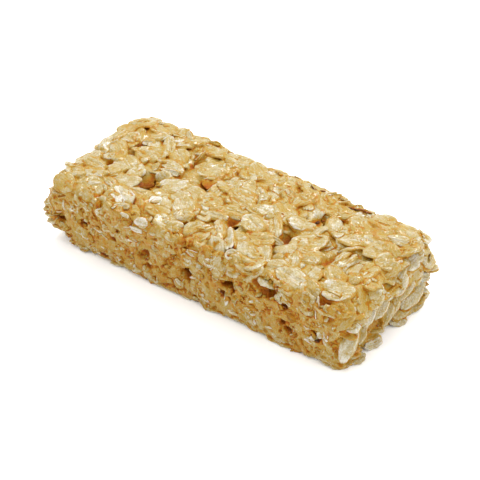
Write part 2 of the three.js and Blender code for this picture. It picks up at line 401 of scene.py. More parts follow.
SUNK_TOP, SUNK_SIDE, SUNK_END, SUNK_BELOW = 1.25, 0.25, 1.2, 0.25
core = shaped(
    "core", solid,
    ("REMESH", {"mode": "VOXEL", "voxel_size": 0.6}),
    ("SMOOTH", {"factor": 0.5, "iterations": 3}),
)
core_points = read(core.vertices, "co")
core_normals = read(core.vertices, "normal")
up = np.clip(core_normals[:, 2], 0, 1) ** 2
down = np.clip(-core_normals[:, 2], 0, 1) ** 2
sunk = SUNK_TOP * up + SUNK_BELOW * down + SUNK_SIDE * core_normals[:, 1] ** 2
sunk = sunk + SUNK_END * core_normals[:, 0] ** 2
waves = np.array([
    0.5 * noise.noise(Vector(point) * 0.55) + 0.4 * noise.noise(Vector(point) * 1.2) for point in core_points
])
top_deep = hole_share(core_points[:, 0], core_points[:, 1], TOP_HOLES) * (core_points[:, 2] > 11)
front_deep = hole_share(core_points[:, 0], core_points[:, 2], FRONT_HOLES) * (core_points[:, 1] < -12)
hollow = np.maximum(top_deep * np.clip(core_normals[:, 2] + 0.4, 0, 1), FRONT_DEEPER * front_deep)
core_points -= core_normals * (sunk + 1.2 * hollow - 0.7 * waves * (1 - 0.7 * down))[:, None]
core.vertices.foreach_set("co", core_points.ravel())
core.update()
print("core", len(core.polygons), "faces")

# %% [markdown]
# ## Shapes that repeat
# A rolled flake is a flattened oat grain: an oval with a blunt, ragged rim and a crease along its length. A
# disc with a few rings, pushed in and out at the rim and given a thickness, makes one. Several kinds, each
# later stretched, bent and turned its own way, keep the heap from looking copied.

# %% Shapes
class Shape:
    """A small closed form, read from a bmesh: its points, and its faces as corners in a row."""

    def __init__(self, net):
        bmesh.ops.recalc_face_normals(net, faces=net.faces)
        net.verts.index_update()
        self.points = np.array([tuple(point.co) for point in net.verts])
        self.corners = np.array([point.index for face in net.faces for point in face.verts])
        self.sizes = np.array([len(face.verts) for face in net.faces])
        net.free()


def flake_shape(sides, rings, seed, crease, ragged):
    """A flake one unit in half length, half width and thickness."""
    dice = random.Random(seed)
    net = bmesh.new()
    bmesh.ops.create_circle(net, cap_ends=True, radius=1, segments=sides)
    disc = net.faces[:][0]
    for ring in range(rings):
        step = 2 * (ring + 1) / ((rings + 1) * (rings + 2))
        bmesh.ops.inset_region(net, faces=[disc], thickness=step, use_boundary=True, use_even_offset=True)
    bmesh.ops.poke(net, faces=[disc])
    bmesh.ops.solidify(net, geom=net.faces[:], thickness=1.0)
    middle = sum(point.co.z for point in net.verts) / len(net.verts)
    phases = [dice.uniform(0, math.tau) for _ in range(6)]
    splits = [(dice.uniform(0, math.tau), dice.uniform(0.05, 0.24)) for _ in range(dice.choice((0, 1, 1, 2)))]
    spot = Vector((dice.uniform(-50, 50), dice.uniform(-50, 50), 0))
    fold_way, fold_start, fold = dice.uniform(0, math.tau), dice.uniform(0.2, 0.6), dice.uniform(-0.7, 0.9)
    ribs = dice.uniform(7.0, 11.0)
    for point in net.verts:
        x, y, z = point.co.x, point.co.y, point.co.z - middle
        out = min(1.0, math.hypot(x, y))
        angle = math.atan2(y, x)
        edge = 0.08 * math.sin(2 * angle + phases[0]) + 0.06 * math.sin(3 * angle + phases[1])
        edge += ragged * noise.noise(Vector((x, y, 0)) * 2.6 + spot)
        for place, bite in splits:
            edge -= bite * math.exp(-(((angle - place + math.pi) % math.tau - math.pi) / 0.16) ** 2)
        wide = 1 + out * edge
        thin = math.sqrt(1 - 0.9 * out ** 6)
        swell = 0.3 * noise.noise(Vector((x, y, 0)) * 1.5 - spot)
        swell += 0.16 * noise.noise(Vector((x, 2 * y, 0)) * 3 + spot)
        groove = crease * math.exp(-((y / 0.14) ** 2)) * (1 - x * x)
        ripple = 0.06 * math.sin(8 * x + 2 * y + phases[2]) * out
        ripple += 0.08 * math.sin(ribs * y + 1.6 * x * x + phases[3]) * (1 - 0.5 * out)
        past_fold = max(0.0, x * math.cos(fold_way) + y * math.sin(fold_way) - fold_start)
        point.co = Vector((x * wide, y * wide, z * thin + swell + ripple - groove + fold * past_fold ** 1.5))
    return Shape(net)


def chip_shape(sides, seed):
    """A broken piece of a flake: an uneven plate."""
    dice = random.Random(seed)
    net = bmesh.new()
    bmesh.ops.create_circle(net, cap_ends=True, radius=1, segments=sides)
    bmesh.ops.solidify(net, geom=net.faces[:], thickness=1.0)
    middle = sum(point.co.z for point in net.verts) / len(net.verts)
    for point in net.verts:
        wide = dice.uniform(0.6, 1.15)
        high = (point.co.z - middle) * dice.uniform(0.6, 1)
        point.co = Vector((point.co.x * wide, point.co.y * wide, high))
    bmesh.ops.triangulate(net, faces=[face for face in net.faces if len(face.verts) > 4])
    return Shape(net)


def crumb_shape(seed):
    dice = random.Random(seed)
    net = bmesh.new()
    bmesh.ops.create_icosphere(net, subdivisions=1, radius=1)
    for point in net.verts:
        point.co *= dice.uniform(0.65, 1.15)
    return Shape(net)


fine_flakes = [flake_shape(36, 6, seed, 0.18, 0.13) for seed in range(16)]
plain_flakes = [flake_shape(16, 2, 100 + seed, 0.16, 0.2) for seed in range(16)]
chips = [chip_shape(7, 200 + seed) for seed in range(12)]
crumbs = [crumb_shape(300 + seed) for seed in range(8)]
for label, kinds in (("fine", fine_flakes), ("plain", plain_flakes), ("chip", chips), ("crumb", crumbs)):
    print(label, len(kinds), "kinds of", len(kinds[0].sizes), "faces")

# %% [markdown]
# ## Laying a flake
# To lay one, its shape is sized, bent a little, turned so that its length points its own way, leaned and
# set down. All copies of a kind are gathered and joined, because thousands of objects would be slow and are
# really one heap. Nothing may reach past the solid's box, so a flake that would is first pushed in.

# %% Laying and joining
def leaned(turn, lean, heading):
    """Turns about the upright, then leans so that the upper face looks towards heading. Degrees."""
    way = math.radians(heading)
    axis = Vector((-math.sin(way), math.cos(way), 0))
    return Matrix.Rotation(math.radians(lean), 3, axis) @ Matrix.Rotation(math.radians(turn), 3, "Z")


MARGIN = 0.04
LOWEST, HIGHEST = LOW + (MARGIN, MARGIN, 0), HIGH - MARGIN
print("room from", LOWEST.round(2).tolist(), "to", HIGHEST.round(2).tolist(), "mm")


def inside(points):
    """Pushes a copy back into the box as a whole, and flattens only what still sticks out."""
    over = np.maximum(points.max(axis=0) - HIGHEST, 0)
    under = np.maximum(LOWEST - points.min(axis=0), 0)
    return np.clip(points - over + under, LOWEST, HIGHEST)


class Heap:
    """Placed copies of small shapes, and for each copy where it lies and how dry it is."""

    def __init__(self, seed):
        self.dice = random.Random(seed)
        self.points, self.corners, self.sizes, self.copies = [], [], [], []
        self.count = 0

    def lay(self, shape, size, middle, turning, dryness, bend=(0, 0), cut=None):
        half = np.array((size[0] / 2, size[1] / 2, size[2]))
        bent = shape.points * half
        bent[:, 2] += bend[0] * shape.points[:, 0] ** 2 + bend[1] * shape.points[:, 1] ** 2
        placed = bent @ np.array(turning).T + np.array(middle)
        if cut is not None:
            placed = cut(placed)
        placed = inside(placed)
        away = [self.dice.uniform(0, 300) for _ in range(3)]
        self.corners.append(shape.corners + self.count)
        self.points.append(placed)
        self.sizes.append(shape.sizes)
        self.copies.append((*middle, *np.array(turning).ravel(), *half, *away, dryness))
        self.count += len(placed)

    def joined(self):
        """All points, corners and face sizes, each in one row, and the copy that each face belongs to."""
        owners = np.repeat(np.arange(len(self.copies)), [len(row) for row in self.sizes])
        return (*map(np.concatenate, (self.points, self.corners, self.sizes)), owners)


def one_mesh(name, points, corners, sizes):
    """A mesh from points, from the faces' corners in a row, and from how many corners each face has."""
    mesh = bpy.data.meshes.new(name)
    mesh.vertices.add(len(points))
    mesh.vertices.foreach_set("co", points.ravel())
    mesh.loops.add(len(corners))
    mesh.loops.foreach_set("vertex_index", corners)
    mesh.polygons.add(len(sizes))
    mesh.polygons.foreach_set("loop_start", np.concatenate(([0], np.cumsum(sizes)[:-1])))
    mesh.update(calc_edges=True)
    return mesh


def grain_of(points, copies):
    """Where each point lies in the copy that it belongs to, how dry that is, and how near its rim."""
    turning = copies[:, 3:12].reshape(-1, 3, 3)
    local = np.einsum("nij,ni->nj", turning, points - copies[:, 0:3])
    rim = np.hypot(local[:, 0] / copies[:, 12], local[:, 1] / copies[:, 13])
    return local + copies[:, 15:18], copies[:, 18], np.clip(rim, 0, 1)


def finished(name, mesh, numbers, material):
    """The mesh as a piece of the bar, in metres, with its numbers for the finish to read."""
    points = read(mesh.vertices, "co")
    mesh.vertices.foreach_set("co", (points * MM).ravel())
    for label, values in numbers.items():
        place = "POINT" if len(values) == len(points) else "CORNER"
        kind, field = ("FLOAT_VECTOR", "vector") if values.ndim == 2 else ("FLOAT", "value")
        mesh.attributes.new(label, kind, place)
        mesh.attributes[label].data.foreach_set(field, values.ravel())
    mesh.materials.clear()
    mesh.materials.append(material)
    mesh.shade_smooth()
    piece = new_object(name, mesh)
    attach(piece, "root")
    print(name, sum(len(face.vertices) - 2 for face in mesh.polygons), "triangles")
    return piece


# %% [markdown]
# ## The flakes on top
# These make the bar's face, so the large ones are laid one by one: the palest and driest, the golden ones
# between them, and those that stand on edge and show a thin pale rim. Each row says where the flake's middle
# is, its length and width, which way its length points, how far it leans and which way, how dry it is, and
# its lift.

# %% Flakes laid one by one on top
TOP_FLAKES = [
    # the back left
    (-44.5, 16.5, 9.0, 7.0, 30, 14, 140, 0.30, 0.2), (-37.5, 17.2, 8.0, 6.5, -20, 10, 90, 0.40, 0.3),
    (-30.0, 17.0, 8.4, 3.0, -42, 34, 225, 0.75, 0.5), (-46.3, 11.8, 7.5, 5.5, 40, 16, 170, 0.35, 0.3),
    (-38.0, 12.6, 8.4, 6.0, 10, 8, 200, 0.30, 0.3), (-31.0, 11.0, 9.0, 5.0, -52, 18, 30, 0.60, 0.4),
    (-42.6, 7.6, 5.6, 5.0, 0, 10, 250, 0.85, 0.6), (-37.0, 8.4, 3.0, 2.4, 30, 20, 280, 0.90, 0.7),
    (-37.2, 4.3, 3.0, 2.6, 60, 12, 90, 0.80, 0.5), (-46.6, 6.6, 8.0, 4.5, 84, 24, 180, 0.40, 0.1),
    (-33.0, 4.8, 8.8, 7.0, 15, 5, 300, 0.35, 0.4), (-42.4, 2.0, 6.4, 5.0, -30, 8, 200, 0.55, 0.3),
    # the front left
    (-46.0, -6.5, 8.2, 5.4, 80, 18, 175, 0.60, 0.2), (-41.6, -2.9, 3.4, 2.6, 20, 14, 250, 0.70, 0.5),
    (-36.0, -2.8, 7.6, 6.4, -25, 6, 220, 0.45, 0.3), (-42.4, -8.0, 7.0, 4.2, 5, 10, 280, 0.60, 0.3),
    (-39.8, -11.6, 8.0, 3.8, 18, 12, 260, 0.80, 0.5), (-45.4, -14.2, 7.6, 5.0, 25, 16, 200, 0.40, 0.2),
    (-44.0, -18.6, 8.0, 5.4, -10, 26, 262, 0.35, 0.0), (-36.6, -16.0, 7.6, 6.2, -35, 16, 265, 0.35, 0.1),
    (-30.8, -9.0, 8.2, 6.4, 18, 9, 250, 0.72, 0.5), (-33.6, -13.2, 6.6, 4.6, -20, 12, 240, 0.40, 0.2),
    # the driest flake, broken and curled, with its neighbours
    (-27.4, -14.8, 8.2, 6.8, -36, 11, 275, 1.70, 1.1), (-24.6, -11.4, 6.2, 4.4, 15, 8, 300, 1.05, 0.3),
    (-18.5, -14.0, 7.4, 6.6, 70, 11, 280, 1.70, 1.1), (-24.2, -18.4, 4.4, 2.2, 10, 30, 260, 1.10, 0.2),
    (-15.6, -19.9, 3.4, 2.8, 20, 50, 270, 1.30, -0.3), (-19.0, -3.0, 7.8, 6.8, 45, 7, 220, 0.95, 0.6),
    (-24.3, 3.2, 8.0, 4.2, -4, 14, 265, 1.05, 0.7), (-23.4, 1.2, 5.6, 2.0, 6, 24, 270, 1.10, 0.3),
    # the middle of the back
    (-21.9, 12.6, 5.4, 2.6, 86, 62, 180, 1.10, 0.2), (-26.3, 8.6, 8.0, 5.6, -35, 8, 150, 0.45, 0.3),
    (-15.0, 8.4, 9.6, 7.4, 18, 6, 280, 0.65, 0.5), (-11.8, 16.8, 8.6, 6.4, 5, 8, 90, 0.40, 0.3),
    (-20.0, 16.8, 8.0, 6.0, -15, 10, 100, 0.40, 0.2), (-26.6, 17.8, 8.4, 5.6, 8, 12, 95, 0.45, 0.3),
    (-4.6, 16.0, 8.6, 6.4, -30, 7, 80, 0.40, 0.3), (-1.8, 11.6, 8.4, 6.2, 20, 6, 240, 0.35, 0.3),
    (4.2, 17.0, 8.6, 6.2, 10, 8, 90, 0.55, 0.3), (6.2, 12.2, 6.0, 4.4, 10, 7, 270, 0.80, 0.5),
    (2.4, 7.4, 5.6, 3.6, -35, 12, 225, 0.90, 0.6), (12.6, 12.6, 6.6, 5.4, 70, 6, 200, 0.60, 0.4),
    (12.6, 17.6, 8.4, 5.4, -12, 10, 80, 0.50, 0.3), (19.2, 14.4, 8.6, 6.4, -40, 8, 60, 0.40, 0.3),
    # the middle
    (-7.9, 3.0, 6.4, 4.8, 84, 12, 20, 0.80, 0.6), (-10.3, 2.6, 5.0, 2.0, 88, 58, 180, 0.90, 0.2),
    (-13.0, -3.2, 7.6, 5.8, -15, 6, 250, 0.50, 0.3), (-7.4, -3.2, 7.4, 6.2, 30, 6, 200, 0.45, 0.3),
    (-11.2, -8.2, 8.8, 6.4, -42, 8, 230, 0.70, 0.5), (-9.0, -12.0, 5.8, 4.4, 40, 12, 240, 0.85, 0.5),
    (-0.6, 3.0, 9.8, 6.4, -14, 5, 280, 0.85, 0.6), (8.0, 2.4, 7.6, 5.4, 12, 7, 290, 0.95, 0.5),
    (11.6, 5.4, 8.6, 6.4, -30, 6, 30, 0.55, 0.3), (1.2, -2.9, 7.8, 6.0, 10, 5, 100, 0.50, 0.3),
    (-1.6, -7.0, 6.6, 3.4, 5, 14, 262, 0.95, 0.4), (8.2, -3.9, 7.8, 6.0, -20, 6, 250, 0.70, 0.4),
    (13.0, -1.8, 8.8, 5.0, -52, 12, 215, 0.75, 0.4), (13.6, -8.6, 7.4, 5.6, 25, 7, 265, 0.55, 0.3),
    (17.2, -6.6, 4.8, 2.2, -12, 44, 262, 0.90, 0.4), (18.2, 3.4, 7.0, 5.4, 20, 6, 20, 0.65, 0.3),
    # along the front
    (2.8, -12.4, 8.8, 3.6, -50, 18, 215, 1.05, 0.6), (7.0, -13.0, 9.6, 3.2, -54, 22, 210, 1.20, 0.8),
    (0.6, -14.6, 6.0, 4.8, 60, 12, 250, 0.85, 0.5), (-3.4, -14.8, 5.8, 4.8, 70, 14, 262, 0.75, 0.5),
    (-8.0, -17.6, 5.8, 4.4, 10, 26, 265, 0.55, 0.1), (-12.2, -17.2, 4.8, 4.0, 50, 24, 270, 0.75, 0.2),
    (8.4, -11.4, 5.4, 4.6, 30, 10, 240, 0.50, 0.4), (13.0, -14.4, 7.4, 5.4, -25, 12, 265, 0.65, 0.4),
    (17.6, -12.8, 6.8, 4.8, -55, 14, 230, 1.00, 0.5), (11.6, -17.8, 4.4, 3.4, 20, 24, 270, 0.90, 0.2),
    (23.0, -16.2, 8.8, 6.6, 12, 14, 266, 0.75, 0.5), (29.0, -16.2, 8.6, 6.4, -8, 14, 268, 0.70, 0.5),
    (16.6, -18.6, 7.0, 4.4, 0, 30, 270, 0.45, 0.0), (34.8, -17.2, 7.0, 5.6, -30, 20, 268, 0.45, 0.1),
    # the right
    (24.4, -2.4, 10.0, 8.2, 25, 5, 200, 0.60, 0.6), (25.0, -10.4, 8.0, 4.6, -58, 12, 220, 0.70, 0.3),
    (28.6, -7.6, 5.6, 4.2, 30, 8, 300, 0.85, 0.4), (26.6, 16.4, 8.6, 5.4, 26, 12, 70, 0.45, 0.3),
    (31.6, 12.6, 8.8, 6.6, -10, 6, 60, 0.40, 0.4), (25.2, 8.4, 6.4, 4.8, -55, 14, 30, 0.85, 0.3),
    (32.6, 6.2, 8.6, 6.2, 38, 8, 135, 0.55, 0.6), (38.2, 7.8, 7.4, 6.2, 10, 6, 330, 0.80, 0.6),
    (35.0, 17.0, 8.6, 6.4, -15, 9, 85, 0.35, 0.3), (42.6, 17.4, 7.6, 5.8, -30, 14, 60, 0.40, 0.2),
    (38.6, 12.6, 7.4, 5.6, 20, 7, 30, 0.45, 0.3), (34.2, 3.0, 7.4, 4.6, 46, 50, 138, 0.85, 0.3),
    (34.1, -2.6, 8.0, 4.6, 84, 56, 182, 0.90, 0.3), (36.2, -2.6, 7.4, 4.6, 82, 48, 180, 0.85, 0.4),
    (41.4, -3.6, 9.8, 8.8, 70, 12, 176, 0.60, 0.9), (37.4, -9.6, 7.2, 5.6, -40, 8, 240, 0.50, 0.3),
    (32.4, -12.6, 6.8, 5.6, 80, 14, 190, 0.80, 0.5), (41.4, -13.8, 8.6, 7.4, 20, 12, 262, 0.85, 0.8),
    (43.0, 12.4, 8.8, 3.8, 22, 18, 300, 1.15, 0.7), (43.6, 8.0, 5.4, 4.2, -30, 14, 330, 0.45, 0.2),
    (44.6, 3.4, 6.6, 5.2, 60, 16, 350, 0.55, 0.3),
]

THICK_FLAKE, THIN_FLAKE, PRESSED_FLAKE = (0.8, 1.15), (0.6, 0.95), 0.8
OAT_ON_TOP, OAT_AT_END, OAT_IN_SIDE = (8.2, 6.3), (8.2, 6.2), (8.0, 6.0)  # length, width
FLAKES_UNDER_SKIN = 0.1
BED_DRYNESS = -0.2
glued, whole, small = Heap(5), Heap(7), Heap(9)
chance, small_chance = glued.dice.uniform, small.dice.uniform


def lay_bedded(heap, shape, size, middle, turning, dryness, bend, sunk_bed, bed_rim):
    """Lays a flake twice: its crisp self, and under it a wider bed of glaze that joins it to the others."""
    heap.lay(shape, size, middle, turning, dryness, bend)
    bed = np.array(middle) - sunk_bed * np.array(turning)[:, 2]
    glued.lay(shape, (size[0] + bed_rim, size[1] + bed_rim, size[2]), bed, turning, BED_DRYNESS, bend)


def lay_large(row, sizes, middle, turning, dryness):
    shape = fine_flakes[(row * 5) % len(fine_flakes)]
    thick = chance(*THICK_FLAKE) * min(1, 0.4 + sizes[1] / 8)
    bend = (chance(-0.45, 0.4), chance(-0.35, 0.35))
    lay_bedded(whole, shape, (*sizes, thick), middle, turning, dryness, bend, 0.3, 0.7)


def sized(oat, size, thick):
    return (oat[0] * size, oat[1] * size, thick)


def lay_small(size, middle, turning, dryness, bend, crisp):
    shape = glued.dice.choice(plain_flakes)
    if crisp:
        lay_bedded(small, shape, size, middle, turning, dryness, bend, 0.2, 0.4)
    else:
        glued.lay(shape, size, middle, turning, dryness, bend)


def tally(step):
    print(step, "glued", len(glued.copies), "whole", len(whole.copies), "small", len(small.copies))


for row, (x, y, length, width, turn, lean, heading, dryness, lift) in enumerate(TOP_FLAKES):
    hit, _ = touch((x, y, 0), (0, 0, 1))
    middle = (x, y, hit.z + lift - FLAKES_UNDER_SKIN)
    lay_large(row, (length, width), middle, leaned(turn, lean, heading), dryness)
tally("laid by hand on top:")

# %% [markdown]
# ## More flakes between and under them
# Under the flakes laid one by one lie others, of which corners and rims show. They are strewn by chance, but
# no two of one layer closer than about half a flake, and none over an open hole.

# %% Strewn flakes on top
def strewn(dice, low, high, gap, tries):
    """Places strewn over a rectangle, none nearer than gap to another."""
    kept = []
    for _ in range(tries):
        place = (dice.uniform(low[0], high[0]), dice.uniform(low[1], high[1]))
        if all((place[0] - a) ** 2 + (place[1] - b) ** 2 >= gap ** 2 for a, b in kept):
            kept.append(place)
    return kept


def open_hole(first, second, holes, margin):
    return any(
        ((first - a) / (half_a + margin)) ** 2 + ((second - b) / (half_b + margin)) ** 2 < 1
        for a, b, half_a, half_b in holes
    )


def under_large(x, y):
    """Whether a place on top lies under one of the flakes laid one by one."""
    return any((x - a) ** 2 + (y - b) ** 2 < (0.36 * (length + width) / 2) ** 2
               for a, b, length, width, *_ in TOP_FLAKES)


HALF_LENGTH, HALF_WIDTH = 49.0, 20.6
CRISP_CLEAR = 3.0  # how far crisp flakes keep from the holes
LAYERS = [(-0.5, 3.3, 1.6, 14), (-1.0, 3.4, 0.8, 12), (-1.5, 3.4, 0.0, 9)]  # lift, gap, clear of holes, lean
for layer, (lift, gap, clear, most_lean) in enumerate(LAYERS):
    for x, y in strewn(glued.dice, (-HALF_LENGTH, -HALF_WIDTH), (HALF_LENGTH, HALF_WIDTH), gap, 2500):
        hit, normal = touch((x, y, 0), (0, 0, 1))
        hidden = layer == 0 and under_large(x, y)
        if hit is None or hit.z < 12 or open_hole(x, y, TOP_HOLES, clear) or hidden:
            continue
        size = chance(0.4, 0.9) if layer == 0 else chance(0.7, 1.1)
        lean = min(abs(glued.dice.gauss(0, most_lean)), 38)
        turning = leaned(chance(0, 360), lean, chance(0, 360))
        tilt = Vector((0, 0, 1)).rotation_difference(Vector((0, 0, 1)).lerp(normal, 0.8)).to_matrix()
        middle = (x, y, hit.z + lift + chance(-0.2, 0.2))
        bend = (chance(-0.5, 0.3), chance(-0.35, 0.35))
        size_mm = sized(OAT_ON_TOP, size, chance(*THIN_FLAKE))
        crisp = layer < 2 and not open_hole(x, y, TOP_HOLES, CRISP_CLEAR)
        lay_small(size_mm, middle, tilt @ turning, chance(0.1, 0.9), bend, crisp)
tally("strewn on top:")

# %% [markdown]
# ## The torn ends
# At an end the bar was pulled apart, so whole flakes stick out in layers, sloping outwards and down. The
# larger ones are laid one by one, and the rest are strewn layer by layer.

# %% The ends
# The middle, length and width, the way the length points, the lean and its heading, and how dry.
END_FLAKES = [
    # sloping over the upper edge, and the curled one at the far corner
    (48.2, 3.6, 15.1, 9.6, 5.6, 111, 56, 318, 1.10), (47.4, 11.1, 16.7, 8.2, 5.8, 86, 34, 340, 1.00),
    (48.8, 18.8, 13.2, 6.8, 5.4, 107, 50, 20, 0.70), (45.6, 17.0, 16.6, 7.6, 6.0, 70, 26, 50, 0.50),
    # stacked like shingles, from the upper layers to the lowest
    (48.4, 18.6, 9.6, 5.9, 2.8, 63, 22, 350, 0.90), (49.2, 14.8, 9.4, 3.1, 2.8, 46, 60, 330, 1.05),
    (48.6, 6.3, 10.2, 7.2, 4.2, 89, 58, 325, 0.95), (48.8, 10.4, 5.8, 9.7, 4.2, 89, 54, 325, 0.70),
    (48.9, 15.2, 5.2, 3.4, 2.8, 30, 30, 20, 0.60), (49.2, 11.5, 1.4, 7.0, 3.8, 89, 46, 330, 0.60),
    (47.6, 6.4, 3.2, 7.0, 5.0, 85, 42, 350, 0.35), (49.0, 4.4, 1.2, 5.5, 3.4, 59, 46, 325, 0.90),
    (47.0, -4.2, 4.0, 5.2, 4.2, 60, 34, 340, 0.60),
    # standing upright between the end and the front
    (48.8, -4.7, 12.9, 8.6, 3.6, 121, 70, 330, 0.95), (48.2, -1.8, 7.1, 7.2, 4.0, 121, 68, 335, 0.45),
    (48.8, -10.4, 13.3, 7.9, 3.2, 121, 72, 325, 0.85), (48.6, 1.7, 8.5, 6.4, 3.6, 110, 64, 330, 0.80),
    (47.6, -12.6, 8.2, 7.6, 4.2, 118, 70, 325, 0.60),
    (48.4, -17.2, 13.6, 3.9, 3.6, 38, 60, 310, 1.00), (48.2, -18.5, 8.9, 9.4, 4.6, 103, 66, 300, 0.75),
    # the lowest, at the near corner
    (48.4, -7.2, 1.2, 4.8, 3.6, 67, 46, 320, 0.80), (48.4, -14.4, 0.9, 4.4, 3.2, 60, 46, 315, 0.75),
    (46.6, -18.6, 0.8, 4.8, 2.6, 50, 36, 300, 0.85),
    # the near corner of the left end, which bulges
    (-49.4, -19.4, 13.0, 5.8, 4.8, 20, 50, 215, 0.60), (-49.8, -19.8, 9.4, 5.6, 4.6, 60, 40, 200, 0.35),
    (-49.2, -19.4, 5.6, 5.4, 4.2, 10, 40, 215, 0.65), (-48.4, -14.4, 11.2, 6.6, 5.2, 80, 52, 185, 0.50),
    (-48.5, -19.3, 11.6, 5.8, 3.6, 36, 16, 216, 0.60), (-48.6, -19.5, 9.8, 5.8, 3.4, 38, 14, 210, 0.40),
    (-48.4, -19.3, 8.0, 5.8, 3.6, 34, 18, 220, 0.60),
]
DRIER_AT_ENDS = 0.1
for row, (x, y, z, length, width, turn, lean, heading, dryness) in enumerate(END_FLAKES):
    lay_large(row + 3, (length, width), (x, y, z), leaned(turn, lean, heading), dryness + DRIER_AT_ENDS)

LAYER_STEP, FLAKE_STEP = 1.45, 4.4
for side in (1, -1):
    for z in np.arange(0.7, 17.5, LAYER_STEP):
        for y in np.arange(-18, 18.1, FLAKE_STEP):
            y_here = y + chance(-1.8, 1.8)
            hit, _ = touch((0, y_here, z), (side, 0, 0))
            if hit is None:
                continue
            reach = chance(4.5, 5.6) if side > 0 else chance(3.1, 4.8)
            size = chance(0.75, 1.1)
            heading = (0 if side > 0 else 180) + chance(-40, 40)
            turning = leaned(chance(0, 180), chance(4, 30), heading)
            middle = (hit.x - side * reach, y_here, z + chance(-0.5, 0.5))
            bend = (chance(-0.5, 0.3), chance(-0.3, 0.3))
            size_mm = sized(OAT_AT_END, size, chance(*THIN_FLAKE))
            lay_small(size_mm, middle, turning, chance(0.2, 0.8), bend, side < 0)
tally("at the ends:")

# %% [markdown]
# ## The cut sides
# A knife went along the front and the back. It cut the flakes off in one plane, so they show as thin
# streaks, and it smeared crumbs over them. Flakes are laid flat inside the bar, and what passes the cut is
# pushed back to it.

# %% The cut sides
def cut_at(side, slack):
    """Pushes what stands out of a long side back to the skin there, give or take slack."""
    def cut(points):
        kept = points.copy()
        middle = points.mean(axis=0)
        hit, _ = touch((middle[0], 0, min(max(middle[2], 1.5), 17)), (0, side, 0))
        if hit is not None:
            kept[:, 1] = side * np.minimum(side * points[:, 1], abs(hit.y) + slack)
        return kept
    return cut


for side in (-1, 1):
    for z in np.arange(0.6, 18.6, 1.2):
        for x in np.arange(-46, 46.1, 3.8):
            x_here = x + chance(-1.8, 1.8)
            hit, _ = touch((x_here, 0, z), (0, side, 0))
            if hit is None or (side < 0 and open_hole(x_here, z, FRONT_HOLES, 0.4)):
                continue
            size = chance(0.5, 1.0)
            lean = chance(0, 34)
            turning = leaned(chance(0, 180), lean, chance(0, 360))
            inward = chance(1.2, 3.2) * size
            middle = (x_here, hit.y - side * inward, z + chance(-0.5, 0.5))
            bend = (chance(-0.4, 0.4), chance(-0.3, 0.3))
            size_mm = sized(OAT_IN_SIDE, size, chance(*THIN_FLAKE))
            slack = chance(-0.8, 0.35)
            glued.lay(glued.dice.choice(plain_flakes), size_mm, middle, turning,
                      chance(-0.6, 0.5), bend, cut_at(side, slack))

# Flakes and slivers that the knife laid bare in front, standing nearly upright: where the middle is along the
# bar and up, length, width, the way the length points, and how dry.
FRONT_FLAKES = [
    (-16.0, 19.3, 3.9, 2.6, 16, 1.40), (-16.2, 16.2, 6.4, 2.1, 6, 1.90), (-18.7, 12.2, 3.4, 1.1, 20, 1.70),
    (-21.7, 18.8, 2.8, 1.3, -10, 1.10), (-17.9, 3.6, 5.5, 3.8, 42, 0.75), (-12.9, 2.9, 4.7, 4.2, 6, 0.65),
    (-38.1, 7.0, 4.0, 2.8, -5, 0.80), (0.8, 16.7, 4.4, 1.5, 6, 1.30), (-31.6, 2.8, 2.7, 1.3, -16, 1.20),
    (-3.8, 5.1, 3.0, 1.3, -28, 1.10), (-35.4, 6.2, 3.3, 2.0, 16, 0.90), (21.2, 15.5, 4.5, 1.7, 16, 1.35),
    (22.0, 10.8, 5.6, 1.3, 23, 1.25), (20.8, 6.9, 3.2, 1.6, 38, 1.00), (21.4, 4.9, 3.0, 1.3, 90, 0.95),
    (26.2, 5.3, 5.1, 2.0, 16, 1.00), (21.5, 1.0, 3.7, 1.2, 1, 1.20), (28.7, 2.6, 4.4, 3.3, 6, 0.70),
    (12.1, 8.0, 5.3, 2.1, 90, 1.25), (37.0, 17.6, 6.3, 5.8, 85, 0.45), (39.9, 18.2, 6.2, 1.1, 103, 1.30),
    (41.2, 10.1, 3.2, 2.1, 95, 1.20), (43.1, 10.3, 3.4, 1.5, 103, 1.80), (38.7, 7.1, 4.7, 2.5, 25, 1.10),
    (42.9, 13.2, 4.1, 1.1, 29, 1.20), (41.2, 15.4, 2.5, 1.1, -5, 1.20), (30.9, 15.4, 3.6, 1.6, -16, 1.10),
    (2.5, 9.3, 5.2, 1.0, 20, 1.00), (6.9, 16.3, 4.7, 2.7, 6, 0.50), (-6.4, 15.3, 4.5, 2.7, 11, 0.50),
    (-27.7, 12.0, 4.4, 2.7, 33, 0.35), (-24.4, 7.5, 3.9, 2.4, 11, 0.50), (5.6, 4.3, 3.4, 2.4, 1, 0.60),
    (14.6, 4.3, 3.7, 2.3, 25, 0.60),
]
FRONT_LEAN, FRONT_HEADING, BEHIND_CUT, DRIER_IN_FRONT = 74, 276, 0.1, 0.3
for row, (x, z, length, width, turn, dryness) in enumerate(FRONT_FLAKES):
    hit, _ = touch((x, 0, min(z, 17)), (0, -1, 0))
    middle = (x, hit.y + BEHIND_CUT, z)
    turning = leaned(turn, FRONT_LEAN, FRONT_HEADING)
    lay_large(row + 7, (length, width), middle, turning, dryness + DRIER_IN_FRONT)

